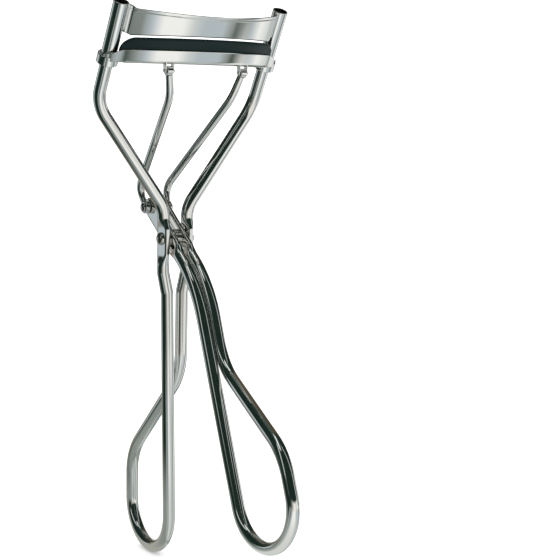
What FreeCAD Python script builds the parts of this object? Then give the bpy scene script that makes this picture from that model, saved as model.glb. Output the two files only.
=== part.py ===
import FreeCAD, Part
import math
import os
from FreeCAD import Vector, Placement, Rotation

# Eyelash curler, in millimetres. X runs along the bars, -Y is the side the bars bulge to,
# +Z is up, towards the bars.
# The sheet's heights and depths count from the pivot; every node is placed at (0, pivot_y, pivot_z).
doc = FreeCAD.newDocument("EyelashCurler")
sheet = doc.addObject("Spreadsheet::Sheet", "Sizes")

SIZES = [
    ("pivot_y", 11.99), ("pivot_z", 62.28),
    # frame wire
    ("wire_d", 2.35), ("post_x", 16.47), ("post_lean", 27.22), ("knee_z", 24.72), ("knee_bend", 7.64),
    ("wire_top_z", 36.0), ("yoke_z", 5.8), ("yoke_bend", 6.0), ("plate_x", 2.5), ("plate_t", 1.0),
    ("plate_w", 3.6), ("plate_half", 2.6), ("plate_taper", 2.6), ("leg_x", 1.6),
    # finger loops, measured down the leg and across it
    ("loop_w", 16.39), ("loop_start", 25.79), ("loop_wide", 44.2), ("loop_end", 61.1), ("loop_bend", 8.1),
    ("loop_neck_bend", 11.0), ("loop_x", 0.2), ("leg_tilt", 20.67), ("leg_offset", 6.87),
    ("shoulder_bend", 22.03), ("handle_loop_end", 59.36), ("handle_x", 1.25), ("handle_leg_x", 1.4),
    # link between the handle's crank and the lower bar
    ("crank_y", 7.2), ("crank_z", 5.3), ("rod_d", 1.45), ("rod_eye_d", 2.9), ("rod_eye_hole", 1.23),
    ("rod_eye_t", 1.0), ("rod_eye_x", 2.36), ("rod_knee_x", 6.45), ("rod_knee_y", -8.77),
    ("rod_knee_z", 26.25), ("rod_low_x", 2.9), ("rod_low_y", 8.9), ("rod_low_z", 8.9),
    ("rod_low_bend", 3.0), ("link_pin_d", 1.15), ("link_pin_half", 2.92), ("link_head_d", 2.2),
    ("link_head_t", 0.45), ("spacer_d", 2.1), ("spacer_half", 0.72), ("pin_hole_gap", 0.04),
    # pivot
    ("rivet_d", 1.5), ("rivet_half", 3.03), ("rivet_head_d", 2.4), ("rivet_head_h", 0.8),
    ("washer_d", 3.4), ("washer_t", 0.18), ("washer_x", 1.78),
    # bars
    ("bar_r", 22.88), ("bar_rise", 7.0), ("tube_d", 2.8), ("tube_bore", 2.42), ("tube_bottom_z", 33.2),
    ("tube_top_z", 42.4), ("strip_t", 0.5), ("strip_bottom_z", 37.0), ("strip_top_z", 41.61),
    ("strip_bottom_dip", 0.35), ("strip_top_dip", 1.4),
    ("holder_bottom_z", 31.9), ("holder_top_z", 34.2), ("holder_w", 3.0), ("holder_wall", 0.45),
    ("holder_floor", 0.5), ("holder_angle", 38.0), ("ear_t", 0.9), ("ring_d", 3.9), ("ring_bore", 3.06),
    ("ring_bottom_z", 31.9),
    ("ring_h", 1.8), ("pad_base_w", 2.0), ("pad_neck_w", 1.3), ("pad_bead_w", 2.3), ("pad_neck_z", 33.8),
    ("pad_bead_z", 34.4), ("pad_top_z", 36.3), ("pad_edge", 0.85), ("pad_angle", 38.5), ("pad_ramp", 2.4),
    # lugs that carry the push rods
    ("lug_x", 7.63), ("lug_y", -10.3), ("lug_z", 30.75), ("lug_gap", 1.3), ("lug_t", 0.4), ("lug_r", 0.8),
    ("lug_pin_d", 0.6), ("lug_pin_half", 1.2), ("lug_eye_d", 1.7), ("lug_eye_t", 1.15),
    ("lug_eye_hole", 1.14),
]
for row, (name, value) in enumerate(SIZES, start=1):
    sheet.set("A%d" % row, name)
    sheet.set("B%d" % row, str(value))
    sheet.setAlias("B%d" % row, name)
doc.recompute()


def size(name):
    return float(sheet.get(name))


HOME = Vector(0, size("pivot_y"), size("pivot_z"))
X = Vector(1, 0, 0)
LEAN = math.radians(size("post_lean"))
UP = Vector(0, -math.sin(LEAN), math.cos(LEAN))
NODES = []


def post_y(z):
    """Depth of the posts' axes at height z."""
    return -(z - size("knee_z")) * math.tan(LEAN)


def node(label, shape):
    made = doc.addObject("Part::Feature", label)
    made.Label = label
    made.Shape = shape
    made.Placement = Placement(HOME, Rotation())
    NODES.append(made)
    return made


# ---- wires ----
def bent_path(points, bends):
    """A wire of straight runs through the points, each corner rounded to its own radius."""
    edges, start = [], points[0]
    for before, corner, after, radius in zip(points, points[1:], points[2:], bends):
        a, b = (before - corner).normalize(), (after - corner).normalize()
        half = a.getAngle(b) / 2
        reach = radius / math.tan(half)
        centre = corner + (a + b).normalize() * (radius / math.sin(half))
        first, last = corner + a * reach, corner + b * reach
        middle = centre + (corner - centre).normalize() * radius
        edges += [Part.makeLine(start, first), Part.Arc(first, middle, last).toShape()]
        start = last
    edges.append(Part.makeLine(start, points[-1]))
    return Part.Wire(edges)


def round_wire(points, bends, diameter):
    path = bent_path(points, bends)
    ring = Part.Wire([Part.makeCircle(diameter / 2, points[0], points[1] - points[0])])
    return Part.Solid(path.makePipeShell([ring], True, False))


def flat_section(centre, along, width, thickness):
    """A closed section square to 'along': flat across X, wide across the other way."""
    across = along.cross(X).normalize()
    power = 2 + 2.5 * (1 - min(1, thickness / size("wire_d")))
    points = []
    for k in range(24):
        angle = 2 * math.pi * k / 24
        c, s = math.cos(angle), math.sin(angle)
        px = math.copysign(abs(c) ** (2 / power), c) * thickness / 2
        py = math.copysign(abs(s) ** (2 / power), s) * width / 2
        points.append(centre + X * px + across * py)
    curve = Part.BSplineCurve()
    curve.interpolate(points, PeriodicFlag=True)
    return Part.Wire([curve.toShape()])


def taper(start, end):
    """The run where the round wire at start is pressed out to the flat plate at end; it reaches into both."""
    along = (end - start).normalize()
    sections = []
    for reach, blend in ((-0.35, 0), (0, 0), (0, 1 / 3), (0, 2 / 3), (0, 1), (0.35, 1)):
        smooth = blend * blend * (3 - 2 * blend)
        width = size("wire_d") + smooth * (size("plate_w") - size("wire_d")) - 0.06
        thickness = size("wire_d") + smooth * (size("plate_t") - size("wire_d")) - 0.06
        sections.append(flat_section(start + (end - start) * blend + along * reach, along, width, thickness))
    return Part.makeLoft(sections, True)


def plate(start, end, round_start=False):
    """A flat plate from start to end; with round_start its first end is rounded about start."""
    along = (end - start).normalize()
    across = along.cross(X).normalize()
    half_w, t = size("plate_w") / 2, size("plate_t")
    corner = start - across * half_w - X * (t / 2)
    face = Part.Face(Part.makePolygon([corner, corner + across * 2 * half_w,
                                       corner + across * 2 * half_w + (end - start),
                                       corner + (end - start), corner]))
    body = face.extrude(X * t)
    if round_start:
        body = body.fuse(Part.makeCylinder(half_w, t, start - X * (t / 2), X))
    return body


def bore(shape, centre, diameter):
    return shape.cut(Part.makeCylinder(diameter / 2, 40, centre - X * 20, X))


def loop_points(side_x, across, down, corner, end):
    """Corners of a finger loop from its bulging side to its straight side."""
    w, x = size("loop_w"), size("loop_x")
    def at(px, n, t):
        return Vector(px, corner.y, corner.z) + across * n + down * t
    return [at(side_x, 0, size("loop_start")), at(x, w, size("loop_wide")),
            at(0.35, w, end), at(-0.35, 0, end)]


def frame_wire():
    pz, px, half = size("knee_z"), size("post_x"), size("plate_half")
    plate_x, leg_x, end = size("plate_x"), size("leg_x"), half + size("plate_taper")
    parts = []
    for side in (-1, 1):
        top = Vector(side * px, post_y(size("wire_top_z")), size("wire_top_z"))
        knee = Vector(side * px, 0, pz)
        yoke = Vector(side * plate_x, 0, size("yoke_z"))
        flat_top, flat_low = Vector(side * plate_x, 0, half - 0.6), Vector(side * plate_x, 0, -half)
        round_top = Vector(side * plate_x, 0, size("yoke_z") - 2.0)
        round_low = Vector(side * plate_x, 0, -end)
        parts.append(round_wire([top, knee, yoke, round_top], [size("knee_bend"), size("yoke_bend")],
                                size("wire_d")))
        parts += [taper(round_top, flat_top), plate(flat_low, flat_top), taper(round_low, flat_low)]
    left = Vector(-plate_x, 0, -end)
    right = Vector(plate_x, 0, -end)
    loop = loop_points(leg_x, Vector(0, 1, 0), Vector(0, 0, -1), Vector(0, 0, 0), size("loop_end"))
    path = [right, Vector(plate_x, 0, -end - 1), Vector(leg_x, 0, -end - 5)] + loop
    path += [Vector(-leg_x, 0, -end - 5), Vector(-plate_x, 0, -end - 1), left]
    neck, bend = size("loop_neck_bend"), size("loop_bend")
    parts.append(round_wire(path, [2, 3, neck, neck, bend, bend, 3, 2], size("wire_d")))
    whole = parts[0].multiFuse(parts[1:])
    return bore(whole, Vector(0, 0, 0), size("rivet_d") + 2 * size("pin_hole_gap"))


def handle_wire():
    tilt = math.radians(size("leg_tilt"))
    down = Vector(0, -math.sin(tilt), -math.cos(tilt))
    across = Vector(0, -math.cos(tilt), math.sin(tilt))
    base = across * size("leg_offset")
    crank = Vector(0, size("crank_y"), size("crank_z"))
    back = (Vector(0, 0, 0) - crank).normalize()
    flat_end = back * size("plate_half")
    round_end = back * (size("plate_half") + size("plate_taper"))
    # the crank's line meets the leg's line here
    reach = base.dot(across) / back.dot(across)
    shoulder = back * reach
    x, leg_x = size("handle_x"), size("handle_leg_x")
    parts = []
    for side in (-1, 1):
        off = X * (side * x)
        parts.append(plate(crank + off, flat_end + off, True))
        parts.append(taper(round_end + off, flat_end + off))
    loop = loop_points(leg_x, across, down, base, size("handle_loop_end"))
    bend, neck, wide = size("shoulder_bend"), size("loop_neck_bend"), size("loop_bend")
    path = [round_end + X * x, shoulder + X * x] + loop + [shoulder - X * x, round_end - X * x]
    parts.append(round_wire(path, [bend, neck, neck, wide, wide, bend], size("wire_d")))
    whole = parts[0].multiFuse(parts[1:])
    whole = bore(whole, Vector(0, 0, 0), size("rivet_d") + 2 * size("pin_hole_gap"))
    return bore(whole, crank, size("link_pin_d") + 0.02)


def push_rod(side):
    """Runs from its eye on the lug pin, over two knees, to its eye on the link pin."""
    lug = Vector(side * size("lug_x"), size("lug_y"), size("lug_z"))
    knee = Vector(side * size("rod_knee_x"), size("rod_knee_y"), size("rod_knee_z"))
    low = Vector(side * size("rod_low_x"), size("rod_low_y"), size("rod_low_z"))
    crank = Vector(side * size("rod_eye_x"), size("crank_y"), size("crank_z"))
    start = lug + (knee - lug).normalize() * 0.7
    end = crank - (crank - low).normalize() * 1.15
    rod = round_wire([start, knee, low, end], [7.0, size("rod_low_bend")], size("rod_d"))
    def eye(centre, outer, t):
        return Part.makeCylinder(outer / 2, t, centre - X * (t / 2), X)
    rod = rod.multiFuse([eye(lug, size("lug_eye_d"), size("lug_eye_t")),
                         eye(crank, size("rod_eye_d"), size("rod_eye_t"))])
    # the rod's ends stay within the eyes' own thickness, clear of the lug ears and the crank plates
    inner, lug_half = size("rod_eye_x") - size("rod_eye_t") / 2, size("lug_eye_t") / 2
    keep = Part.makeBox(40, 60, 60, Vector(-20, -30, 7.9))
    keep = keep.fuse(Part.makeBox(1.8, 60, 40, Vector(inner if side > 0 else -inner - 1.8, -30, -20)))
    keep = keep.cut(Part.makeBox(4, 6, 3, lug + Vector(-2, -3, -1.2)))
    keep = keep.fuse(Part.makeBox(2 * lug_half, 6, 4, lug + Vector(-lug_half, -3, -1.3)))
    rod = rod.common(keep)
    hole = Part.makeCylinder(size("lug_eye_hole") / 2, 6, lug - X * 3, X)
    rod = rod.cut(hole)
    return rod.cut(Part.makeCylinder(size("rod_eye_hole") / 2, 6, crank - X * 3, X))


# ---- bars ----
def band(z0, z1, width, half_angle):
    """Part of a ring of the bars' radius, level, drawn up along the posts from z0 to z1."""
    r, a = size("bar_r"), math.radians(half_angle)
    centre = Vector(0, post_y(z0) + r - size("bar_rise"), z0)
    def at(radius, angle):
        return centre + Vector(radius * math.sin(angle), -radius * math.cos(angle), 0)
    inner, outer = r - width / 2, r + width / 2
    edges = [Part.Arc(at(outer, -a), at(outer, 0), at(outer, a)).toShape(),
             Part.makeLine(at(outer, a), at(inner, a)),
             Part.Arc(at(inner, a), at(inner, 0), at(inner, -a)).toShape(),
             Part.makeLine(at(inner, -a), at(outer, -a))]
    return Part.Face(Part.Wire(edges)).extrude(UP * ((z1 - z0) / UP.z))


def front_outline(low_end, low_mid, top_end, top_mid, half):
    """A slab through the whole depth whose upper and lower edges sag in the middle."""
    def at(x, z):
        return Vector(x, -60, z)
    edges = [Part.Arc(at(-half, low_end), at(0, low_mid), at(half, low_end)).toShape(),
             Part.makeLine(at(half, low_end), at(half, top_end)),
             Part.Arc(at(half, top_end), at(0, top_mid), at(-half, top_end)).toShape(),
             Part.makeLine(at(-half, top_end), at(-half, low_end))]
    return Part.Face(Part.Wire(edges)).extrude(Vector(0, 100, 0))


def tube(side, z0, z1, diameter):
    start = Vector(side * size("post_x"), post_y(z0), z0)
    return Part.makeCylinder(diameter / 2, (z1 - z0) / UP.z, start, UP)


def post_angle():
    return math.degrees(math.asin(size("post_x") / size("bar_r")))


def upper_bar():
    low, top = size("strip_bottom_z"), size("strip_top_z")
    strip = band(low - 1, top + 1, size("strip_t"), post_angle())
    strip = strip.common(front_outline(low, low - size("strip_bottom_dip"), top,
                                       top - size("strip_top_dip"), size("post_x") + 2))
    z0, z1 = size("tube_bottom_z"), size("tube_top_z")
    bar = strip.multiFuse([tube(side, z0, z1, size("tube_d")) for side in (-1, 1)])
    for side in (-1, 1):
        bar = bar.cut(tube(side, z0 - 2, z1 + 2, size("tube_bore")))
    return bar


def lower_bar():
    z0, z1 = size("holder_bottom_z"), size("holder_top_z")
    floor = size("holder_floor")
    channel = band(z0, z1, size("holder_w"), size("holder_angle"))
    groove = band(z0 + floor, z1 + 1, size("holder_w") - 2 * size("holder_wall"), size("holder_angle") + 2)
    ears = band(z0 + 0.1, z1 - 0.2, size("ear_t"), post_angle())
    ears = ears.cut(band(z0 - 1, z1 + 1, size("holder_w"), size("holder_angle") - 1))
    parts = [channel.cut(groove), ears]
    r0 = size("ring_bottom_z")
    for side in (-1, 1):
        parts.append(tube(side, r0, r0 + size("ring_h") * UP.z, size("ring_d")))
        for face in (-1, 1):
            offset = size("lug_gap") / 2 + (size("lug_t") if face < 0 else 0)
            start = Vector(side * size("lug_x") + face * offset, size("lug_y"), size("lug_z"))
            parts.append(Part.makeCylinder(size("lug_r"), size("lug_t"), start, X))
            parts.append(Part.makeBox(size("lug_t"), 2 * size("lug_r"), z0 + floor / 2 - size("lug_z"),
                                      start - Vector(0, size("lug_r"), 0)))
    bar = parts[0].multiFuse(parts[1:])
    # the ears slope down to the rings
    for side in (-1, 1):
        x_in = side * size("bar_r") * math.sin(math.radians(size("holder_angle") + 0.5))
        x_out = side * (size("post_x") + 3)
        low = r0 + size("ring_h") * UP.z
        wedge = Part.Face(Part.makePolygon([Vector(x_in, -60, z1 + 0.01), Vector(x_in, -60, z1 + 3),
                                            Vector(x_out, -60, z1 + 3), Vector(x_out, -60, low + 0.05),
                                            Vector(side * (size("post_x") - 0.4), -60, low + 0.05),
                                            Vector(x_in, -60, z1 + 0.01)]))
        ring_keep = tube(side, r0 - 2, r0 + size("ring_h") * UP.z, size("ring_d") + 0.01)
        bar = bar.cut(wedge.extrude(Vector(0, 100, 0)).cut(ring_keep))
        bar = bar.cut(tube(side, r0 - 6, r0 + 8, size("ring_bore")))
    for side in (-1, 1):
        start = Vector(side * size("lug_x") - 4, size("lug_y"), size("lug_z"))
        bar = bar.cut(Part.makeCylinder(size("lug_pin_d") / 2 + 0.005, 8, start, X))
    return bar


def rubber_pad():
    """A foot held in the channel, a neck at the lips, and a wider bead with rounded edges and ramped ends."""
    held = size("pad_angle") - 2.5
    foot = band(size("holder_bottom_z") + 0.55, size("pad_neck_z") + 0.01, size("pad_base_w"), held)
    neck = band(size("pad_neck_z"), size("pad_bead_z") + 0.01, size("pad_neck_w"), held)
    z0, z1 = size("pad_bead_z"), size("pad_top_z")
    bead = band(z0, z1, size("pad_bead_w"), size("pad_angle"))
    ramp = size("pad_ramp")
    for side in (-1, 1):
        end = size("bar_r") * math.sin(math.radians(size("pad_angle")))
        x1, x0 = side * (end + 1.0), side * (end - ramp * 0.75)
        wedge = Part.Face(Part.makePolygon([Vector(x0, -60, z1 + 0.01), Vector(x0, -60, z1 + 2),
                                            Vector(x1, -60, z1 + 2), Vector(x1, -60, z0 + 0.2),
                                            Vector(x0, -60, z1 + 0.01)]))
        bead = bead.cut(wedge.extrude(Vector(0, 100, 0)))
    whole = bead.multiFuse([foot, neck]).removeSplitter()
    rims = []
    for edge in whole.Edges:
        box = edge.BoundBox
        if box.ZMin > z1 - 0.05 and box.XLength > 20:
            rims.append(edge)
    if rims:
        whole = whole.makeFillet(size("pad_edge"), rims)
    return whole


# ---- pins and washers, as bound primitives ----
def cylinder(name, radius, height, x, y, z):
    made = doc.addObject("Part::Cylinder", name)
    made.setExpression("Radius", radius)
    made.setExpression("Height", height)
    made.Placement = Placement(Vector(0, 0, 0), Rotation(Vector(0, 1, 0), 90))
    made.setExpression("Placement.Base.x", x)
    made.setExpression("Placement.Base.y", y)
    made.setExpression("Placement.Base.z", z)
    return made


def fused(label, pieces):
    made = doc.addObject("Part::MultiFuse", label)
    made.Shapes = pieces
    made.Label = label
    NODES.append(made)
    return made


def labelled(label, made):
    made.Label = label
    NODES.append(made)


def dome(name, side):
    made = doc.addObject("Part::Ellipsoid", name)
    made.setExpression("Radius1", "Sizes.rivet_head_h")
    made.setExpression("Radius2", "Sizes.rivet_head_d / 2")
    made.setExpression("Radius3", "Sizes.rivet_head_d / 2")
    made.Angle1 = 0
    made.Placement = Placement(Vector(0, 0, 0), Rotation(Vector(0, 1, 0), 90 * side))
    made.setExpression("Placement.Base.x", "%d * Sizes.rivet_half" % side)
    made.setExpression("Placement.Base.y", "Sizes.pivot_y")
    made.setExpression("Placement.Base.z", "Sizes.pivot_z")
    return made


AT_PIVOT = ("Sizes.pivot_y", "Sizes.pivot_z")
AT_LINK = ("Sizes.pivot_y + Sizes.crank_y", "Sizes.pivot_z + Sizes.crank_z")
AT_LUG = ("Sizes.pivot_y + Sizes.lug_y", "Sizes.pivot_z + Sizes.lug_z")

node("frame_wire", frame_wire())
node("upper_bar", upper_bar())
node("handle_wire", handle_wire())
node("push_rod_left", push_rod(-1))
node("push_rod_right", push_rod(1))
node("lower_bar", lower_bar())
node("rubber_pad", rubber_pad())

shank = cylinder("rivet_shank", "Sizes.rivet_d / 2", "2 * Sizes.rivet_half", "-Sizes.rivet_half", *AT_PIVOT)
fused("pivot_rivet", [shank, dome("rivet_head_left", -1), dome("rivet_head_right", 1)])

washers = []
for side, start in (("left", "-Sizes.washer_x - Sizes.washer_t"), ("right", "Sizes.washer_x")):
    disc = cylinder("washer_disc_" + side, "Sizes.washer_d / 2", "Sizes.washer_t", start, *AT_PIVOT)
    hole = cylinder("washer_hole_" + side, "Sizes.rivet_d / 2 + Sizes.pin_hole_gap", "Sizes.washer_t + 2",
                    start + " - 1", *AT_PIVOT)
    ring = doc.addObject("Part::Cut", "washer_" + side)
    ring.Base, ring.Tool = disc, hole
    washers.append(ring)
fused("pivot_washers", washers)

outer = cylinder("pivot_sleeve", "Sizes.washer_d / 2", "2 * Sizes.spacer_half", "-Sizes.spacer_half",
                 *AT_PIVOT)
inner = cylinder("pivot_sleeve_hole", "Sizes.rivet_d / 2 + Sizes.pin_hole_gap", "2 * Sizes.spacer_half + 2",
                 "-Sizes.spacer_half - 1", *AT_PIVOT)
spacer = doc.addObject("Part::Cut", "pivot_spacer")
spacer.Base, spacer.Tool = outer, inner
labelled("pivot_spacer", spacer)

pin = cylinder("link_shank", "Sizes.link_pin_d / 2", "2 * Sizes.link_pin_half", "-Sizes.link_pin_half",
               *AT_LINK)
heads = [cylinder("link_head_" + side, "Sizes.link_head_d / 2", "Sizes.link_head_t", start, *AT_LINK)
         for side, start in (("left", "-Sizes.link_pin_half - Sizes.link_head_t"),
                             ("right", "Sizes.link_pin_half"))]
fused("link_pin", [pin] + heads)

outer = cylinder("link_sleeve", "Sizes.spacer_d / 2", "2 * Sizes.spacer_half", "-Sizes.spacer_half", *AT_LINK)
inner = cylinder("link_sleeve_hole", "Sizes.link_pin_d / 2 + Sizes.pin_hole_gap", "2 * Sizes.spacer_half + 2",
                 "-Sizes.spacer_half - 1", *AT_LINK)
sleeve = doc.addObject("Part::Cut", "link_spacer")
sleeve.Base, sleeve.Tool = outer, inner
labelled("link_spacer", sleeve)

for side, sign in (("left", "-"), ("right", "")):
    labelled("lug_pin_" + side, cylinder("lug_pin_" + side, "Sizes.lug_pin_d / 2", "2 * Sizes.lug_pin_half",
                                         sign + "Sizes.lug_x - Sizes.lug_pin_half", *AT_LUG))

doc.recompute()
bad = []
for made in NODES:
    shape = made.Shape
    if "Invalid" in made.State or "Error" in made.State or shape.isNull() or not shape.isValid():
        bad.append(made.Label)
    box = shape.optimalBoundingBox()
    print("%-16s solids %d  vol %8.2f  x %.2f..%.2f  y %.2f..%.2f  z %.2f..%.2f" % (
        made.Label, len(shape.Solids), shape.Volume,
        box.XMin, box.XMax, box.YMin, box.YMax, box.ZMin, box.ZMax))
total = NODES[0].Shape.optimalBoundingBox()
for made in NODES[1:]:
    total.add(made.Shape.optimalBoundingBox())
print("overall x %.2f..%.2f  y %.2f..%.2f  z %.2f..%.2f" % (total.XMin, total.XMax, total.YMin, total.YMax,
                                                            total.ZMin, total.ZMax))
if bad:
    raise RuntimeError("unsound shapes: " + ", ".join(bad))
os.makedirs("parts", exist_ok=True)
for made in NODES:
    made.Shape.exportStep("parts/%s.step" % made.Label)
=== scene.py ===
import math

import bpy
import numpy as np
from mathutils import Matrix, Vector


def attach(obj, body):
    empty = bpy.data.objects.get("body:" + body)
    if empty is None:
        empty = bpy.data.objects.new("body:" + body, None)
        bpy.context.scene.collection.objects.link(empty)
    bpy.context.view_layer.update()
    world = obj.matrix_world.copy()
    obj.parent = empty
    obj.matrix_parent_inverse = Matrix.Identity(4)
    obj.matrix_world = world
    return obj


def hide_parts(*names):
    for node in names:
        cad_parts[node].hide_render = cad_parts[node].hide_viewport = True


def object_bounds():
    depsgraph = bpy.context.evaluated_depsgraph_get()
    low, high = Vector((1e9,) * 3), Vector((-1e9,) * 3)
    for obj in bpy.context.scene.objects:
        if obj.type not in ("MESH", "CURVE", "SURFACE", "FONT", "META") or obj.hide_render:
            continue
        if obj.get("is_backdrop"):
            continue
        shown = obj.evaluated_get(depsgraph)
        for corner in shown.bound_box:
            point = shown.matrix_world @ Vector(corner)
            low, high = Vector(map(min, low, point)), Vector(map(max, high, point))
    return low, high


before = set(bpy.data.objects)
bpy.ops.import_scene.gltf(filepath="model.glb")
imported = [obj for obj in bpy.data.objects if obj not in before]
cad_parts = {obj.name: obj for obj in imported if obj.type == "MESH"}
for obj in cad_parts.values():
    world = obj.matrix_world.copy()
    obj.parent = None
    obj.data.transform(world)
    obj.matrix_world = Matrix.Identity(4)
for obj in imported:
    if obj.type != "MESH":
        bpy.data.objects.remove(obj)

START_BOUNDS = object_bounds()

# Lengths are in millimetres, counted from the pivot: x along the bars, y to the back, z up.
MM = 0.001
PIVOT = np.array([0.0, 11.99, 62.28])
WIRE_R, ROD_R = 1.175, 0.725
PLATE_T, PLATE_W, PLATE_HALF, PLATE_TAPER = 1.0, 3.6, 2.6, 2.6
POST_X, LEAN, KNEE_Z = 16.47, math.radians(27.22), 24.72
BAR_R, BAR_RISE = 22.88, 7.0
UP = np.array([0.0, -math.sin(LEAN), math.cos(LEAN)])
X = np.array([1.0, 0.0, 0.0])


def vec(*values):
    return np.array(values, dtype=float)


def post_y(z):
    return -(z - KNEE_Z) * math.tan(LEAN)


def leaned(x, depth, z):
    """A point of the bars: depth is counted from the line of the posts at that height."""
    return vec(x, post_y(z) + depth, z)


def on_bar(angle, out, z):
    """A point of the bars at an angle round their curve, a distance out from its middle line."""
    r = BAR_R + out
    return leaned(r * math.sin(angle), BAR_R - BAR_RISE - r * math.cos(angle), z)


def smooth(value, low, high):
    t = min(1.0, max(0.0, (value - low) / (high - low)))
    return t * t * (3 - 2 * t)


def mix(a, b, t):
    return a + (b - a) * t


# ---------------------------------------------------------------- materials
class Value:
    """A shader socket that adds Math nodes when it is used in an expression."""

    def __init__(self, tree, socket):
        self.tree, self.socket = tree, socket

    def maths(self, operation, a, b):
        return self.tree.add("ShaderNodeMath", {"operation": operation}, a, b)[0]

    def __add__(self, other):
        return self.maths("ADD", self, other)

    def __sub__(self, other):
        return self.maths("SUBTRACT", self, other)

    def __mul__(self, other):
        return self.maths("MULTIPLY", self, other)

    def __pow__(self, other):
        return self.maths("POWER", self, other)


class Tree:
    """A node tree and one way of adding nodes to it."""

    def __init__(self, nodes):
        self.nodes = nodes

    def put(self, socket, value):
        if isinstance(value, Value):
            self.nodes.links.new(value.socket, socket)
        elif value is not None:
            socket.default_value = value

    def add(self, kind, settings=None, *values, **named):
        made = self.nodes.nodes.new(kind)
        for key, value in (settings or {}).items():
            if key == "stops":
                ramp = made.color_ramp.elements
                while len(ramp) < len(value):
                    ramp.new(0.5)
                for stop, (at, colour) in zip(ramp, value):
                    stop.position, stop.color = at, colour
            else:
                setattr(made, key, value)
        for socket, value in zip(made.inputs, values):
            self.put(socket, value)
        for name, value in named.items():
            self.put(made.inputs[name.replace("_", " ")], value)
        return [Value(self, out) for out in made.outputs]

    def colour_mix(self, factor, a, b):
        """Colour a where factor is 0 and colour b where it is 1."""
        outs = self.add("ShaderNodeMix", {"data_type": "RGBA"})
        made = self.nodes.nodes[-1]
        self.put(made.inputs[0], factor)
        self.put(made.inputs[6], a)
        self.put(made.inputs[7], b)
        return outs[2]


def material(name):
    """A new material, its tree, its shader and a socket with the piece's own coordinates."""
    made = bpy.data.materials.new(name)
    made.use_nodes = True
    tree = Tree(made.node_tree)
    shader = made.node_tree.nodes["Principled BSDF"]
    place = tree.add("ShaderNodeTexCoord")[3]
    return made, tree, shader, place


def noise(tree, place, scale, detail=3.0, rough=0.55):
    return tree.add("ShaderNodeTexNoise", None, Vector=place, Scale=scale, Detail=detail, Roughness=rough)[0]


def nickel_plate(name, light, dark, rough, wear):
    """Bright nickel: a faint cloud in the tone, fine polishing haze and the least ripple in the surface."""
    made, tree, shader, place = material(name)
    cloud = noise(tree, place, 90.0)
    haze = noise(tree, place, 1400.0, 4.0)
    tree.put(shader.inputs["Base Color"], tree.colour_mix(cloud, (*dark, 1), (*light, 1)))
    tree.put(shader.inputs["Roughness"], cloud * wear + haze * (wear * 0.6) + rough)
    shader.inputs["Metallic"].default_value = 1.0
    ripple = noise(tree, place, 160.0, 2.0)
    bump = tree.add("ShaderNodeBump", None, Strength=0.05, Distance=0.00008, Height=ripple)[0]
    tree.put(shader.inputs["Normal"], bump)
    return made


def black_rubber(name):
    """Semi-matt black rubber with a very fine grain."""
    made, tree, shader, place = material(name)
    cloud = noise(tree, place, 220.0)
    grain = noise(tree, place, 2600.0, 5.0)
    tree.put(shader.inputs["Base Color"], tree.colour_mix(cloud, (0.002, 0.009, 0.009, 1), (0.004, 0.014, 0.014, 1)))
    tree.put(shader.inputs["Roughness"], cloud * 0.12 + 0.34)
    shader.inputs["Specular IOR Level"].default_value = 0.2
    bump = tree.add("ShaderNodeBump", None, Strength=0.25, Distance=0.00003, Height=grain)[0]
    tree.put(shader.inputs["Normal"], bump)
    return made


WIRE_PLATE = nickel_plate("drawn_wire_nickel", (0.87, 0.865, 0.85), (0.82, 0.815, 0.80), 0.035, 0.04)
SHEET_PLATE = nickel_plate("pressed_sheet_nickel", (0.88, 0.88, 0.87), (0.83, 0.83, 0.82), 0.05, 0.05)
# The pins, washers and sleeves get a darker copy of the same nickel: painted shade for the dim pivot and link.
SHADED_PIN_PLATE = nickel_plate("pin_nickel_painted_shade", (0.66, 0.64, 0.59), (0.54, 0.52, 0.48), 0.08, 0.07)
RUBBER = black_rubber("black_rubber")


# ---------------------------------------------------------------- shapes
SHARP_ANGLE = math.radians(40)


def solid(name, parts, finish):
    """One object from parts, each a list of points and a list of faces."""
    points, faces = [], []
    for part_points, part_faces in parts:
        base = len(points)
        points += [tuple((np.asarray(p) + PIVOT) * MM) for p in part_points]
        faces += [tuple(base + i for i in face) for face in part_faces]
    mesh = bpy.data.meshes.new(name)
    mesh.from_pydata(points, [], faces)
    mesh.materials.append(finish)
    mesh.validate()
    mesh.shade_smooth()
    mesh.set_sharp_from_angle(angle=SHARP_ANGLE)
    made = bpy.data.objects.new(name, mesh)
    bpy.context.scene.collection.objects.link(made)
    return made


def skin(rings, closed=False):
    """Faces over a run of closed rings of points; the two ends are capped unless the run closes on itself."""
    rings = [list(ring) for ring in rings]
    count, m = len(rings), len(rings[0])
    points, faces = [p for ring in rings for p in ring], []
    for i in range(count if closed else count - 1):
        j = (i + 1) % count
        for k in range(m):
            q = (k + 1) % m
            faces.append((i * m + k, i * m + q, j * m + q, j * m + k))
    if not closed:
        faces.append(tuple(range(m - 1, -1, -1)))
        faces.append(tuple((count - 1) * m + k for k in range(m)))
    volume, middle = 0.0, np.mean(points, axis=0)
    for face in faces:
        a = np.asarray(points[face[0]]) - middle
        for b, c in zip(face[1:], face[2:]):
            volume += np.dot(a, np.cross(np.asarray(points[b]) - middle, np.asarray(points[c]) - middle))
    if volume < 0:
        faces = [face[::-1] for face in faces]
    return points, faces


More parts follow.
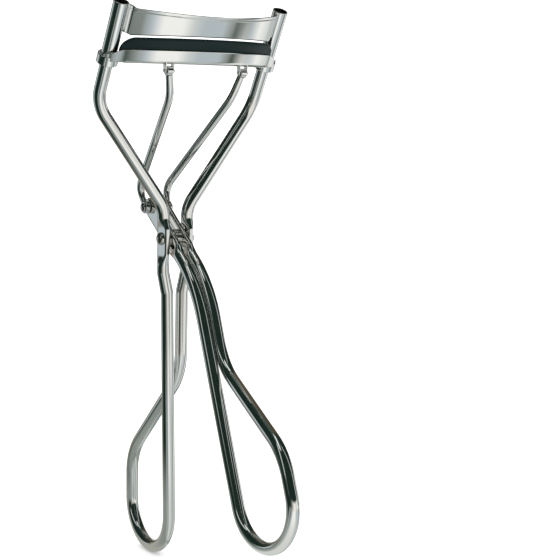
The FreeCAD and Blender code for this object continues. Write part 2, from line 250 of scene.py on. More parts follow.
def rounded(corners, radii, steps=5, hold=0.05):
    """A closed outline with its corners rounded; each arc has a point just before it and just after it."""
    outline, count = [], len(corners)
    for i, (corner, radius) in enumerate(zip(corners, radii)):
        corner = vec(*corner)
        before, after = vec(*corners[i - 1]), vec(*corners[(i + 1) % count])
        a, b = before - corner, after - corner
        la, lb = np.linalg.norm(a), np.linalg.norm(b)
        a, b = a / la, b / lb
        half = math.acos(np.clip(a @ b, -1, 1)) / 2
        reach = min(radius / math.tan(half), 0.45 * la, 0.45 * lb)
        radius = reach * math.tan(half)
        centre = corner + (a + b) / np.linalg.norm(a + b) * (radius / math.sin(half))
        first, last = corner + a * reach - centre, corner + b * reach - centre
        outline.append(corner + a * (reach + min(hold, 0.2 * la)))
        turn = math.pi - 2 * half
        for k in range(steps + 1):
            t = k / steps
            outline.append(centre + (first * math.sin((1 - t) * turn) + last * math.sin(t * turn)) / math.sin(turn))
        outline.append(corner + b * (reach + min(hold, 0.2 * lb)))
    return outline


def axes_of(axis):
    """The axis made one long, and two directions square to it and to each other."""
    axis = axis / np.linalg.norm(axis)
    side = np.cross(axis, X if abs(axis[0]) < 0.9 else vec(0, 1, 0))
    side /= np.linalg.norm(side)
    return axis, side, np.cross(axis, side)


def turned(centre, axis, profile, sides=64):
    """A turned shape with a bore: profile is a closed outline of (distance along the axis, radius)."""
    axis, side, other = axes_of(axis)
    rings = []
    for k in range(sides):
        angle = 2 * math.pi * k / sides
        way = side * math.cos(angle) + other * math.sin(angle)
        rings.append([centre + axis * along + way * radius for along, radius in profile])
    return skin(rings, closed=True)


def spun(centre, axis, profile, sides=64):
    """A turned shape with no bore: both ends of the profile lie on the axis."""
    axis, side, other = axes_of(axis)
    points = [centre + axis * profile[0][0], centre + axis * profile[-1][0]]
    faces, count = [], len(profile) - 2
    for along, radius in profile[1:-1]:
        for k in range(sides):
            angle = 2 * math.pi * k / sides
            points.append(centre + axis * along + (side * math.cos(angle) + other * math.sin(angle)) * radius)
    for k in range(sides):
        q = (k + 1) % sides
        faces.append((0, 2 + q, 2 + k))
        for i in range(count - 1):
            a, b = 2 + i * sides, 2 + (i + 1) * sides
            faces.append((a + k, a + q, b + q, b + k))
        last = 2 + (count - 1) * sides
        faces.append((1, last + k, last + q))
    return points, faces


def sleeve(centre, axis, length, outer, inner, edge=0.08):
    """A short tube from centre along the axis; edge is the radius of its rims."""
    corners = [(0, inner), (0, outer), (length, outer), (length, inner)]
    return turned(centre, axis, rounded(corners, [edge] * 4, 3, 0.03))


def tab(outline, x0, x1, edge=0.06):
    """A flat plate across x with a (y, z) outline and softened rims."""
    outline = [vec(*p) for p in outline]
    centre = np.mean(outline, axis=0)

    def ring(x, inset):
        points = []
        for p in outline:
            way = p - centre
            q = p - way / np.linalg.norm(way) * inset
            points.append(vec(x, q[0], q[1]))
        return points

    return skin([ring(x0, edge), ring(x0 + edge * 0.3, edge * 0.3), ring(x0 + edge, 0),
                 ring(x1 - edge, 0), ring(x1 - edge * 0.3, edge * 0.3), ring(x1, edge)])


def bent(points, radii, step):
    """Points along straight runs whose corners are rounded."""

    def line(a, b):
        count = max(1, int(np.linalg.norm(b - a) / step))
        return [a + (b - a) * k / count for k in range(count)]

    out, start = [], points[0]
    for before, corner, after, radius in zip(points, points[1:], points[2:], radii):
        a, b = before - corner, after - corner
        a, b = a / np.linalg.norm(a), b / np.linalg.norm(b)
        half = math.acos(np.clip(a @ b, -1, 1)) / 2
        reach = radius / math.tan(half)
        centre = corner + (a + b) / np.linalg.norm(a + b) * (radius / math.sin(half))
        first, last = corner + a * reach, corner + b * reach
        out += line(start, first)
        turn = math.pi - 2 * half
        count = max(4, int(math.degrees(turn) / 3))
        for k in range(count):
            t = k / count
            out.append(centre + ((first - centre) * math.sin((1 - t) * turn)
                                 + (last - centre) * math.sin(t * turn)) / math.sin(turn))
        start = last
    return out + line(start, points[-1]) + [points[-1]]


# ---------------------------------------------------------------- pressed wire, swept by nodes
def wire_nodes():
    """Sweeps a round section down a path; each path point says how far the section is pressed across x."""
    group = bpy.data.node_groups.new("pressed_wire", "GeometryNodeTree")
    face = group.interface
    face.new_socket("Geometry", in_out="OUTPUT", socket_type="NodeSocketGeometry")
    face.new_socket("Path", in_out="INPUT", socket_type="NodeSocketGeometry")
    face.new_socket("Sides", in_out="INPUT", socket_type="NodeSocketInt")
    tree = Tree(group)
    path, sides = tree.add("NodeGroupInput")[:2]

    def field(name):
        return tree.add("GeometryNodeInputNamedAttribute", {"data_type": "FLOAT"}, name)[0]

    def vector(operation, *values):
        return tree.add("ShaderNodeVectorMath", {"operation": operation}, *values)

    curve = tree.add("GeometryNodeMeshToCurve", None, path)[0]
    here = tree.add("GeometryNodeInputPosition")[0]
    store = tree.add("GeometryNodeStoreNamedAttribute", {"data_type": "FLOAT_VECTOR", "domain": "POINT"},
                     curve, None, "spine", here)[0]
    ring = tree.add("GeometryNodeCurvePrimitiveCircle", {"mode": "RADIUS"}, Resolution=sides, Radius=1.0)[0]
    swept = tree.add("GeometryNodeCurveToMesh", None, Curve=store, Profile_Curve=ring, Fill_Caps=True)[0]
    spine = tree.add("GeometryNodeInputNamedAttribute", {"data_type": "FLOAT_VECTOR"}, "spine")[0]
    away = vector("SUBTRACT", here, spine)[0]
    parts = tree.add("ShaderNodeSeparateXYZ", None, away)
    across = tree.add("ShaderNodeCombineXYZ", None, 0.0, parts[1], parts[2])[0]
    reach = vector("LENGTH", across)[1]
    boxy = field("boxy")
    sign = tree.add("ShaderNodeMath", {"operation": "SIGN"}, parts[0])[0]
    size = tree.add("ShaderNodeMath", {"operation": "ABSOLUTE"}, parts[0])[0]
    new_x = sign * (size ** boxy) * field("half_x")
    safe = tree.add("ShaderNodeMath", {"operation": "MAXIMUM"}, reach, 0.0001)[0]
    stretch = (safe ** (boxy - 1.0)) * field("half_w")
    moved = vector("ADD", vector("SCALE", across, None, None, stretch)[0],
                   tree.add("ShaderNodeCombineXYZ", None, new_x)[0])[0]
    placed = tree.add("GeometryNodeSetPosition", None, Geometry=swept,
                      Position=vector("ADD", spine, moved)[0])[0]
    tree.add("NodeGroupOutput", None, placed)
    return group


PRESSED_WIRE = wire_nodes()


def swept_wire(path, section, sides=48):
    """Points and faces of a wire along path; section gives half thickness, half width and boxiness."""
    mesh = bpy.data.meshes.new("path")
    mesh.from_pydata([tuple((p + PIVOT) * MM) for p in path], [(i, i + 1) for i in range(len(path) - 1)], [])
    values = [section(p) for p in path]
    for name, column in (("half_x", 0), ("half_w", 1), ("boxy", 2)):
        data = mesh.attributes.new(name, "FLOAT", "POINT").data
        scale = MM if column < 2 else 1.0
        data.foreach_set("value", [row[column] * scale for row in values])
    guide = bpy.data.objects.new("path", mesh)
    bpy.context.scene.collection.objects.link(guide)
    modifier = guide.modifiers.new("sweep", "NODES")
    modifier.node_group = PRESSED_WIRE
    inputs = {item.name: item.identifier for item in PRESSED_WIRE.interface.items_tree if item.in_out == "INPUT"}
    modifier[inputs["Sides"]] = sides
    bpy.context.view_layer.update()
    evaluated = guide.evaluated_get(bpy.context.evaluated_depsgraph_get())
    plain = bpy.data.meshes.new_from_object(evaluated)
    bpy.data.objects.remove(guide)
    points = [np.array(v.co) / MM - PIVOT for v in plain.vertices]
    faces = [tuple(p.vertices) for p in plain.polygons]
    return points, faces


PLATE_BOXY = 0.42
LOOP_WIDE, LOOP_KINK, LOOP_BULGE = 16.39, 25.79, 44.2
CROSSING_X = 0.35
PATH_STEP = 0.5


def pressed(flat):
    """Section of the thick wire: flat is 0 where it is round and 1 where it is pressed to a plate."""
    return (mix(WIRE_R, PLATE_T / 2, flat), mix(WIRE_R, PLATE_W / 2, flat), mix(1.0, PLATE_BOXY, flat))


def loop_corners(side_x, across, down, base, end):
    """Corners of a finger loop, from its bulging side round to its straight side."""

    def at(x, n, t):
        return vec(x, base[1], base[2]) + across * n + down * t

    return [at(side_x, 0, LOOP_KINK), at(0.2, LOOP_WIDE, LOOP_BULGE), at(CROSSING_X, LOOP_WIDE, end),
            at(-CROSSING_X, 0, end)]


# ---------------------------------------------------------------- the frame wire
PLATE_X, LEG_X, YOKE_Z = 2.5, 1.6, 5.8
PLATE_LOW = -(PLATE_HALF + PLATE_TAPER)
POST_MIDDLE_Z = 36.0
FRAME_LOOP_END = 61.1
ARM_BENDS = [7.64, 6, 2, 3]
LOOP_BENDS = [11, 11, 8.1, 8.1]


def frame_section(p):
    """The frame's wire is pressed flat only where its two legs pass the pivot."""
    if abs(p[1]) > 0.6 or abs(p[0]) > 2.6:
        return pressed(0)
    flat = smooth(p[2], PLATE_LOW, -PLATE_HALF) * (1 - smooth(p[2], PLATE_HALF - 0.9, YOKE_Z - 1.9))
    return pressed(flat)


right_arm = [leaned(POST_X, 0, POST_MIDDLE_Z), vec(POST_X, 0, KNEE_Z), vec(PLATE_X, 0, YOKE_Z),
             vec(PLATE_X, 0, PLATE_LOW - 1), vec(LEG_X, 0, PLATE_LOW - 5)]
left_arm = [p * vec(-1, 1, 1) for p in right_arm[::-1]]
corners = right_arm + loop_corners(LEG_X, vec(0, 1, 0), vec(0, 0, -1), vec(0, 0, 0), FRAME_LOOP_END) + left_arm
frame_path = bent(corners, ARM_BENDS + LOOP_BENDS + ARM_BENDS[::-1], PATH_STEP)
yoke = solid("yoke_and_fixed_loop", [swept_wire(frame_path, frame_section)], WIRE_PLATE)

# ---------------------------------------------------------------- the moving handle
CRANK = vec(0, 7.2, 5.3)
TILT = math.radians(20.67)
BACK = -CRANK / np.linalg.norm(CRANK)
ARM = np.linalg.norm(CRANK)
HANDLE_SHIFT, HANDLE_LOOP_END, SHOULDER_BEND = 6.87, 59.36, 22.03
HANDLE_X, HANDLE_LEG_X = 1.25, 1.4
down = vec(0, -math.sin(TILT), -math.cos(TILT))
across = vec(0, -math.cos(TILT), math.sin(TILT))
base = across * HANDLE_SHIFT
shoulder = BACK * ((base @ across) / (BACK @ across))


def handle_section(p):
    """The handle's wire is a plate from its rounded tip at the link pin to just past the pivot."""
    q = (p - CRANK) @ BACK
    half_x, half_w, boxy = pressed(1 - smooth(q, ARM + PLATE_HALF, ARM + PLATE_HALF + PLATE_TAPER))
    if q < 0:
        half_w = math.sqrt(max(0.01, half_w ** 2 - q * q))
    return half_x, half_w, boxy


tip = CRANK - BACK * (PLATE_W / 2 - 0.004)
ends = [tip + BACK * k for k in (0, 0.03, 0.1, 0.2, 0.35, 0.5)]
half_path = [tip + BACK * 0.7 + X * HANDLE_X, shoulder + X * HANDLE_X]
corners = half_path + loop_corners(HANDLE_LEG_X, across, down, base, HANDLE_LOOP_END)
corners += [p * vec(-1, 1, 1) for p in half_path[::-1]]
handle_path = bent(corners, [SHOULDER_BEND] + LOOP_BENDS + [SHOULDER_BEND], PATH_STEP)
handle_path = [p + X * HANDLE_X for p in ends] + handle_path + [p - X * HANDLE_X for p in ends[::-1]]
handle = solid("crank_and_moving_loop", [swept_wire(handle_path, handle_section)], WIRE_PLATE)

# ---------------------------------------------------------------- push rods
LUG = vec(7.63, -10.3, 30.75)
ROD_KNEE, ROD_LOW_KNEE = vec(6.45, -8.77, 26.25), vec(2.9, 8.9, 8.9)
ROD_EYE_X = 2.36
LUG_EYE_R, LUG_EYE_BORE, LUG_EYE_W = 0.85, 0.57, 1.14
CRANK_EYE_R, CRANK_EYE_BORE, CRANK_EYE_W = 1.2, 0.615, 1.0


def push_rod(name, side):
    """A thin wire with two knees and an eye at each end."""
    mirror = vec(side, 1, 1)
    lug, crank = LUG * mirror, (CRANK + X * ROD_EYE_X) * mirror
    knee, low_knee = ROD_KNEE * mirror, ROD_LOW_KNEE * mirror
    start = lug + (knee - lug) / np.linalg.norm(knee - lug) * 0.75
    end = crank - (crank - low_knee) / np.linalg.norm(crank - low_knee) * 1.15

    def section(p):
        near_lug = 1 - smooth(np.linalg.norm(p - lug), 0.8, 5.0)
        near_crank = 1 - smooth(np.linalg.norm(p - crank), 1.6, 3.6)
        return (ROD_R - near_lug * 0.08 - near_crank * 0.24, ROD_R - near_lug * 0.05 + near_crank * 0.1, 1.0)

    rod = swept_wire(bent([start, knee, low_knee, end], [7.0, 3.0], PATH_STEP), section, 36)
    lug_eye = sleeve(lug - X * LUG_EYE_W / 2, X, LUG_EYE_W, LUG_EYE_R, LUG_EYE_BORE)
    crank_eye = sleeve(crank - X * CRANK_EYE_W / 2, X, CRANK_EYE_W, CRANK_EYE_R, CRANK_EYE_BORE, 0.2)
    return solid(name, [rod, lug_eye, crank_eye], WIRE_PLATE)


left_rod = push_rod("left_push_rod", -1)
right_rod = push_rod("right_push_rod", 1)

# ---------------------------------------------------------------- the fixed strip and its posts
TUBE_R, TUBE_BORE_R = 1.4, 1.21
STRIP_T, HEM = 0.5, 0.16
STRIP_END = math.radians(34.0)
STRIP_LOW, STRIP_HIGH, STRIP_SAG = 36.66, 41.61, 1.4
POST_LOW, POST_HIGH = 33.2, 42.4
END_ANGLE = math.asin(POST_X / BAR_R)


def strip_plan():
    """The strip's middle line seen from above: the long curve, a flat end, then a crease in to each rolled post."""
    arc = [vec(BAR_R * math.sin(a), BAR_R - BAR_RISE - BAR_R * math.cos(a))
           for a in np.linspace(-STRIP_END, STRIP_END, 97)]
    flat_end, crease, seam = vec(14.55, -1.85), vec(14.95, -0.8), vec(POST_X - TUBE_R + 0.16, -0.28)
    fold = bent([vec(*p, 0) for p in (arc[-1], flat_end, crease, seam)], [0.4, 0.2], 0.25)
    fold = [p[:2] for p in fold[1:]]
    return [vec(-p[0], p[1]) for p in fold[::-1]] + arc + fold


def strip_rings():
    """Sections of the strip along its plan: its hemmed top edge dips in the middle and rises at the ends."""
    plan = strip_plan()
    rings = []
    for i, here in enumerate(plan):
        before, after = plan[max(0, i - 1)], plan[min(len(plan) - 1, i + 1)]
        way = (after - before) / np.linalg.norm(after - before)
        out = vec(way[1], -way[0])
        sag = 1 - (here[0] / POST_X) ** 2
        rise = smooth(abs(here[0]), 14.1, 15.3)
        z0, z1 = STRIP_LOW + 0.7 * rise, STRIP_HIGH - STRIP_SAG * sag + 0.75 * rise
        half = STRIP_T / 2
        hem = half + HEM * (1 - rise)
        section = rounded([(-half, z0), (half, z0), (half, z1 - 0.7), (hem, z1 - 0.5), (hem, z1), (-half, z1)],
                          [0.16, 0.16, 0.12, 0.12, 0.2, 0.2], 4, 0.04)
        rings.append([leaned(here[0] + out[0] * n, here[1] + out[1] * n, z) for n, z in section])
    return rings


def post_tube(side):
    start = leaned(side * POST_X, 0, POST_LOW)
    return sleeve(start, UP, (POST_HIGH - POST_LOW) / UP[2], TUBE_R, TUBE_BORE_R, 0.07)


strip = solid("fixed_strip_and_posts", [skin(strip_rings()), post_tube(-1), post_tube(1)], SHEET_PLATE)

# ---------------------------------------------------------------- the sliding holder
HOLD_Z0, HOLD_Z1 = 31.9, 34.2
HOLD_HALF, WALL = 1.5, 0.45
HOLD_END = math.radians(38)
CHANNEL_FLOOR = 0.5
RING_Z0, RING_H, RING_R, RING_BORE_R = 31.9, 1.8, 1.95, 1.53
LUG_ROUND, LUG_HALF_W, LUG_T = 0.45, 0.5, 0.25
LUG_PLATES = (-0.9, 0.65)


def channel_rings():
    corners = [(-HOLD_HALF, HOLD_Z0), (HOLD_HALF, HOLD_Z0), (HOLD_HALF, HOLD_Z1), (HOLD_HALF - WALL, HOLD_Z1),
               (HOLD_HALF - WALL, HOLD_Z0 + CHANNEL_FLOOR), (WALL - HOLD_HALF, HOLD_Z0 + CHANNEL_FLOOR),
               (WALL - HOLD_HALF, HOLD_Z1), (-HOLD_HALF, HOLD_Z1)]
    section = rounded(corners, [0.5, 0.5, 0.16, 0.16, 0.1, 0.1, 0.16, 0.16], 5, 0.05)
    return [[on_bar(a, out, z) for out, z in section] for a in np.linspace(-HOLD_END, HOLD_END, 97)]


def ear_rings(side, face):
    """The end of one wall, drawn down and out to the ring that slides on the post."""
    rings = []
    ring_top = RING_Z0 + RING_H * UP[2]
    for t in np.linspace(0, 1, 15):
        angle = mix(HOLD_END - 0.02, END_ANGLE, t)
        middle = mix(HOLD_HALF - WALL / 2, 1.75, smooth(t, 0.1, 0.9)) * face
        half = mix(WALL / 2, 0.19, t)
        z0 = HOLD_Z0 + 0.12
        z1 = mix(HOLD_Z1 - 0.01, ring_top, smooth(t, 0.15, 0.8))
        section = rounded([(middle - half, z0), (middle + half, z0), (middle + half, z1), (middle - half, z1)],
                          [0.12] * 4, 3, 0.04)
        rings.append([on_bar(side * angle, out, z) for out, z in section])
    return rings


holder_parts = [skin(channel_rings())]
for side in (-1, 1):
    for face in (-1, 1):
        holder_parts.append(skin(ear_rings(side, face)))
    holder_parts.append(sleeve(leaned(side * POST_X, 0, RING_Z0), UP, RING_H, RING_R, RING_BORE_R, 0.12))
    lug_x, lug_y, lug_z = LUG * vec(side, 1, 1)
    turns = np.linspace(-math.pi, 0, 19)
    shape = [(lug_y + LUG_ROUND * math.cos(a), lug_z + LUG_ROUND * math.sin(a)) for a in turns]
    shape += [(lug_y + LUG_HALF_W, HOLD_Z0 + 0.25), (lug_y - LUG_HALF_W, HOLD_Z0 + 0.25)]
    for offset in LUG_PLATES:
        holder_parts.append(tab(shape, lug_x + offset, lug_x + offset + LUG_T))
holder = solid("pad_holder", holder_parts, SHEET_PLATE)

# ---------------------------------------------------------------- the rubber pad
PAD_END = math.radians(41.3)
PAD_TOP, PAD_HALF, PAD_FOOT_HALF, PAD_NOSE = 36.36, 1.15, 0.98, 2.4


def pad_rings():
    """Sections of the pad: a foot in the channel and a wider bead above it, rounded down at both ends."""
    tip = np.linspace(-PAD_END, -PAD_END + 0.12, 22)
    body = np.linspace(-PAD_END + 0.14, PAD_END - 0.14, 70)
    rings = []
    for a in np.concatenate([tip, body, -tip[::-1]]):
        into = (PAD_END - abs(a)) * BAR_R
        rise = math.sqrt(1 - (1 - min(1.0, (into + 0.02) / PAD_NOSE)) ** 2)
        top = mix(HOLD_Z1 + 0.15, PAD_TOP, rise)
        bead = mix(1.0, PAD_HALF, min(1.0, into / 0.4))
        tall = top - HOLD_Z1 - 0.02
        foot = HOLD_Z0 + 0.56 + 1.4 * smooth(abs(a), HOLD_END - 0.03, HOLD_END)
        section = rounded([(-PAD_FOOT_HALF, foot), (PAD_FOOT_HALF, foot), (PAD_FOOT_HALF, HOLD_Z1 + 0.02),
                           (bead, HOLD_Z1 + 0.04), (bead, top), (-bead, top), (-bead, HOLD_Z1 + 0.04),
                           (-PAD_FOOT_HALF, HOLD_Z1 + 0.02)],
                          [0.2, 0.2, 0.02, 0.03, min(0.85, tall * 0.6), min(0.85, tall * 0.6), 0.03, 0.02], 6, 0.03)
        rings.append([on_bar(a, out, z) for out, z in section])
    return rings


pad = solid("lash_pad", [skin(pad_rings())], RUBBER)

# ---------------------------------------------------------------- pins, washers and sleeves
RIVET_R, RIVET_HALF, RIVET_HEAD_R, RIVET_HEAD_H = 0.75, 3.03, 1.2, 0.8
LINK_R, LINK_HALF, LINK_HEAD_R, LINK_HEAD_H = 0.575, 2.92, 0.85, 0.42
LUG_PIN_R, LUG_PIN_HALF = 0.3, 1.1
WASHER_R, WASHER_BORE, WASHER_T, WASHER_STARTS = 1.7, 0.79, 0.18, (-1.96, 1.78)
SPACER_W = 1.44


def rivet_profile(shank, half, head, height):
    """A shank with a domed head at each end."""
    right = [(half, shank)]
    right += [(half + height * math.sin(a), head * math.cos(a)) for a in np.linspace(0, math.pi / 2, 9)]
    right[-1] = (half + height, 0.0)
    return [(-along, radius) for along, radius in right[::-1]] + right


rivet_shape = spun(vec(0, 0, 0), X, rivet_profile(RIVET_R, RIVET_HALF, RIVET_HEAD_R, RIVET_HEAD_H))
rivet = solid("pivot_stud", [rivet_shape], SHADED_PIN_PLATE)
washer_shapes = [sleeve(X * start, X, WASHER_T, WASHER_R, WASHER_BORE, 0.03) for start in WASHER_STARTS]
washers = solid("pivot_washer_pair", washer_shapes, SHADED_PIN_PLATE)
spacer_shape = sleeve(X * (-SPACER_W / 2), X, SPACER_W, WASHER_R, WASHER_BORE, 0.06)
spacer = solid("pivot_sleeve", [spacer_shape], SHADED_PIN_PLATE)
link_shape = spun(CRANK, X, rivet_profile(LINK_R, LINK_HALF, LINK_HEAD_R, LINK_HEAD_H))
link = solid("link_cross_pin", [link_shape], SHADED_PIN_PLATE)
link_sleeve_shape = sleeve(CRANK - X * SPACER_W / 2, X, SPACER_W, 1.05, 0.615, 0.06)
link_sleeve = solid("link_sleeve", [link_sleeve_shape], SHADED_PIN_PLATE)
lug_pins = {}
for name, side in (("left", -1), ("right", 1)):
    half_pin = [(LUG_PIN_HALF - 0.05, LUG_PIN_R), (LUG_PIN_HALF, LUG_PIN_R - 0.05), (LUG_PIN_HALF, 0.0)]
    pin_profile = [(-along, radius) for along, radius in half_pin[::-1]] + half_pin
    lug_pins[name] = solid(name + "_lug_pin", [spun(LUG * vec(side, 1, 1), X, pin_profile, 32)], SHADED_PIN_PLATE)

PIECES = [
    (yoke, "frame", "frame_wire", "plated_wire"), (handle, "handle", "handle_wire", "plated_wire"),
    (left_rod, "push_rod_left", "push_rod_left", "plated_wire"),
    (right_rod, "push_rod_right", "push_rod_right", "plated_wire"),
    (strip, "frame", "upper_bar", "plated_sheet"), (holder, "lower_bar", "lower_bar", "plated_sheet"),
    (pad, "lower_bar", "rubber_pad", "rubber"), (rivet, "frame", "pivot_rivet", "plated_small"),
    (washers, "frame", "pivot_washers", "plated_small"), (spacer, "frame", "pivot_spacer", "plated_small"),
    (link, "handle", "link_pin", "plated_small"), (link_sleeve, "handle", "link_spacer", "plated_small"),
    (lug_pins["left"], "lower_bar", "lug_pin_left", "plated_small"),
    (lug_pins["right"], "lower_bar", "lug_pin_right", "plated_small"),
]
for piece, body, node, finish in PIECES:
    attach(piece, body)
    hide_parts(node)


# ---------------------------------------------------------------- floor, light and camera
CAM_AZIMUTH, CAM_ELEVATION, CAM_ROLL = (math.radians(a) for a in (-34.0, 7.09, 1.28))
FRONT = (math.sin(CAM_AZIMUTH), -math.cos(CAM_AZIMUTH))
RIGHT = (math.cos(CAM_AZIMUTH), math.sin(CAM_AZIMUTH))

# What the plating mirrors: the colours of the room's windows and of the dark between them, and the grey of a painted
# shadow under the object.
WHITE, CREAM, PALE = (1.0, 1.0, 0.97, 1), (0.94, 0.91, 0.85, 1), (0.66, 0.70, 0.69, 1)
SLATE, PAINTED_SHADOW_ASH, GREY = (0.50, 0.56, 0.59, 1), (0.48, 0.52, 0.49, 1), (0.23, 0.26, 0.24, 1)
TAN, BROWN = (0.36, 0.31, 0.24, 1), (0.10, 0.075, 0.05, 1)
DIM, BLACK = (0.05, 0.08, 0.07, 1), (0.008, 0.020, 0.015, 1)

# Metres for the floor's radii; the heights are the upward part of a direction, 0 level and 1 straight up.
FLOOR_R, PAINTED_SHADOW_R, NEAR_R, FAR_R = 0.42, 0.03, 0.12, 0.22
WALL_FROM, WALL_TO, CEILING_FROM, CEILING_TO = 0.06, 0.2, 0.90, 0.96
ROOM_LIGHT = 1.6


def bearing_of(x, y):
    """0 to 1 once round the object, 0.5 towards the camera's side and more to its right."""
    to_front = x * FRONT[0] + y * FRONT[1]
    to_right = x * RIGHT[0] + y * RIGHT[1]
    return to_right.maths("ARCTAN2", to_right, to_front) * (1 / (2 * math.pi)) + 0.5


def windows(tree, bearing, *stops):
    """Colours round the room; each stop is a bearing in degrees and a colour."""
    stops = [(degrees / 360 + 0.5, colour) for degrees, colour in stops]
    return tree.add("ShaderNodeValToRGB", {"stops": stops}, bearing)[0]


def level_room(tree, bearing):
    """The room at the object's own height."""
    return windows(tree, bearing, (-180, WHITE), (-170, PALE), (-160, BROWN), (-146, TAN), (-130, GREY), (-120, SLATE),
                   (-106, SLATE), (-97, DIM), (-74, BLACK), (-38, BLACK), (-22, DIM), (-8, TAN), (6, SLATE),
                   (18, CREAM), (44, CREAM), (56, PALE), (74, WHITE), (90, PALE), (96, GREY), (101, BLACK),
                   (106, GREY), (113, SLATE), (124, WHITE), (140, PALE), (152, BROWN), (162, GREY), (172, WHITE))


def upper_room(tree, bearing):
    """The walls above it, dark but for two tall windows."""
    return windows(tree, bearing, (-180, GREY), (-168, BROWN), (-120, BLACK), (-54, BLACK), (-48, PALE),
                   (-43, PALE), (-37, BLACK), (76, BLACK), (82, PALE), (86, PALE), (92, BLACK),
                   (140, BLACK), (156, BROWN), (170, GREY))


def painted_near_floor_reflection(tree, bearing):
    """Painted reflections: the colours the floor glows with close round the object, seen only in the plating."""
    return windows(tree, bearing, (-180, PALE), (-150, GREY), (-132, TAN), (-104, DIM), (-76, BLACK), (-50, BLACK),
                   (-40, DIM), (-32, GREY), (-27, PALE), (-23, GREY), (-19, DIM), (-12, GREY), (0, SLATE),
                   (12, WHITE), (34, WHITE), (46, PALE), (58, SLATE), (80, SLATE), (90, GREY), (94, BLACK),
                   (98, GREY), (106, WHITE), (118, WHITE), (134, GREY), (156, DIM), (166, DIM), (175, SLATE))


def between(tree, value, low, high):
    """0 below low, 1 above high and smooth from one to the other."""
    return tree.add("ShaderNodeMapRange", {"interpolation_type": "SMOOTHSTEP"}, value, low, high, 0.0, 1.0)[0]


def studio_world():
    """White to the eye and for soft light; in reflections a dim room with a few tall windows of light."""
    world = bpy.data.worlds.new("studio")
    bpy.context.scene.world = world
    world.use_nodes = True
    tree = Tree(world.node_tree)
    x, y, z = tree.add("ShaderNodeSeparateXYZ", None, tree.add("ShaderNodeTexCoord")[0])
    bearing = bearing_of(x, y)
    high_up = between(tree, z, WALL_FROM, WALL_TO)
    room = tree.colour_mix(high_up, level_room(tree, bearing), upper_room(tree, bearing))
    room = tree.colour_mix(between(tree, z, CEILING_FROM, CEILING_TO), room, DIM)
    mirrored = world.node_tree.nodes["Background"]
    tree.put(mirrored.inputs["Color"], room)
    tree.put(mirrored.inputs["Strength"], 1.0)
    plain = tree.add("ShaderNodeBackground", None, (1, 1, 1, 1), ROOM_LIGHT)[0]
    seen_in_plating = tree.add("ShaderNodeLightPath")[3]
    mixed = tree.add("ShaderNodeMixShader", None, seen_in_plating, plain, Value(tree, mirrored.outputs[0]))[0]
    tree.put(world.node_tree.nodes["World Output"].inputs["Surface"], mixed)


def floor_finish():
    """Pale paint to the eye; in reflections the floor glows with painted reflections of the room's windows carried on
    down over it, and a painted shadow grey under the object.
    """
    made, tree, shader, place = material("pale_floor")
    tree.put(shader.inputs["Base Color"], (0.94, 0.94, 0.94, 1))
    tree.put(shader.inputs["Roughness"], 0.9)
    x, y = tree.add("ShaderNodeSeparateXYZ", None, place)[:2]
    y = y - PIVOT[1] * MM
    bearing = bearing_of(x, y)
    away = (x * x + y * y) ** 0.5
    far_out = between(tree, away, NEAR_R, FAR_R)
    seen = tree.colour_mix(far_out, painted_near_floor_reflection(tree, bearing), level_room(tree, bearing))
    # Painted shadow: close under the object the plating sees the floor greyer, standing in for its contact shadow.
    clear_of_painted_shadow = between(tree, away, PAINTED_SHADOW_R, PAINTED_SHADOW_R * 3) * 0.55 + 0.45
    seen = tree.colour_mix(clear_of_painted_shadow, PAINTED_SHADOW_ASH, seen)
    # The floor glows with these colours only for rays from the plating: painted reflections, as it is no lamp.
    painted_reflection_glow = tree.add("ShaderNodeEmission", None, seen, 1.0)[0]
    seen_in_plating = tree.add("ShaderNodeLightPath")[3]
    mixed = tree.add("ShaderNodeMixShader", None, seen_in_plating, Value(tree, shader.outputs[0]), painted_reflection_glow)[0]
    tree.put(made.node_tree.nodes["Material Output"].inputs["Surface"], mixed)
    return made


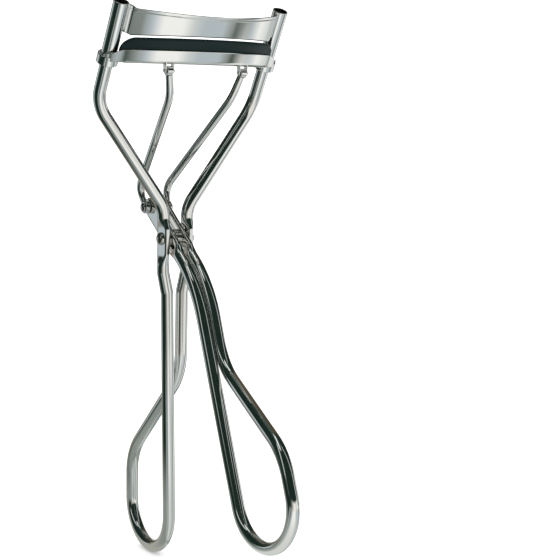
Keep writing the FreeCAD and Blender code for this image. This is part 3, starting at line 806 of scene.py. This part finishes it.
rim = [(FLOOR_R * math.cos(a), FLOOR_R * math.sin(a), 0) for a in np.linspace(0, 2 * math.pi, 64, False)]
floor_mesh = bpy.data.meshes.new("floor")
floor_mesh.from_pydata(rim, [], [tuple(range(len(rim)))])
floor_mesh.materials.append(floor_finish())
floor = bpy.data.objects.new("floor", floor_mesh)
bpy.context.scene.collection.objects.link(floor)
floor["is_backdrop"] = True
studio_world()

# A narrow light overhead, which the tops of the wires mirror as a thin line.
light = bpy.data.lights.new("top_softbox", "AREA")
light.shape, light.size, light.size_y, light.energy = "RECTANGLE", 0.14, 0.5, 0.22
lamp = bpy.data.objects.new("top_softbox", light)
lamp.location = (-0.1, -0.1, 0.8)
lamp.rotation_euler = (-Vector(lamp.location)).to_track_quat("-Z", "Y").to_euler()
bpy.context.scene.collection.objects.link(lamp)

# The camera's lens, and its place counted from the pivot, in millimetres.
CAM_LENS, CAM_RIGHT, CAM_UP, CAM_AWAY = 94.467857, 19.76, -7.36, 274.5
towards = vec(math.sin(CAM_AZIMUTH) * math.cos(CAM_ELEVATION), -math.cos(CAM_AZIMUTH) * math.cos(CAM_ELEVATION),
              math.sin(CAM_ELEVATION))
level = vec(math.cos(CAM_AZIMUTH), math.sin(CAM_AZIMUTH), 0)
upright = np.cross(towards, level)
cam_x = level * math.cos(CAM_ROLL) + upright * math.sin(CAM_ROLL)
cam_y = upright * math.cos(CAM_ROLL) - level * math.sin(CAM_ROLL)
spot = (PIVOT + towards * CAM_AWAY + level * CAM_RIGHT + upright * CAM_UP) * MM
lens = bpy.data.cameras.new("camera")
lens.sensor_width = 36.0
lens.lens = CAM_LENS
lens.clip_start, lens.clip_end = 0.01, 20
camera = bpy.data.objects.new("camera", lens)
camera.matrix_world = Matrix(((cam_x[0], cam_y[0], towards[0], spot[0]), (cam_x[1], cam_y[1], towards[1], spot[1]),
                              (cam_x[2], cam_y[2], towards[2], spot[2]), (0, 0, 0, 1)))
bpy.context.scene.collection.objects.link(camera)
bpy.context.scene.camera = camera
bpy.context.scene.view_settings.view_transform = "Standard"


def plain_lists(value):
    if isinstance(value, dict):
        return {key: plain_lists(item) for key, item in value.items()}
    if isinstance(value, (list, tuple, Vector)):
        return [plain_lists(item) for item in value]
    return value


{"start": plain_lists(START_BOUNDS), "finish": plain_lists(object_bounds())}
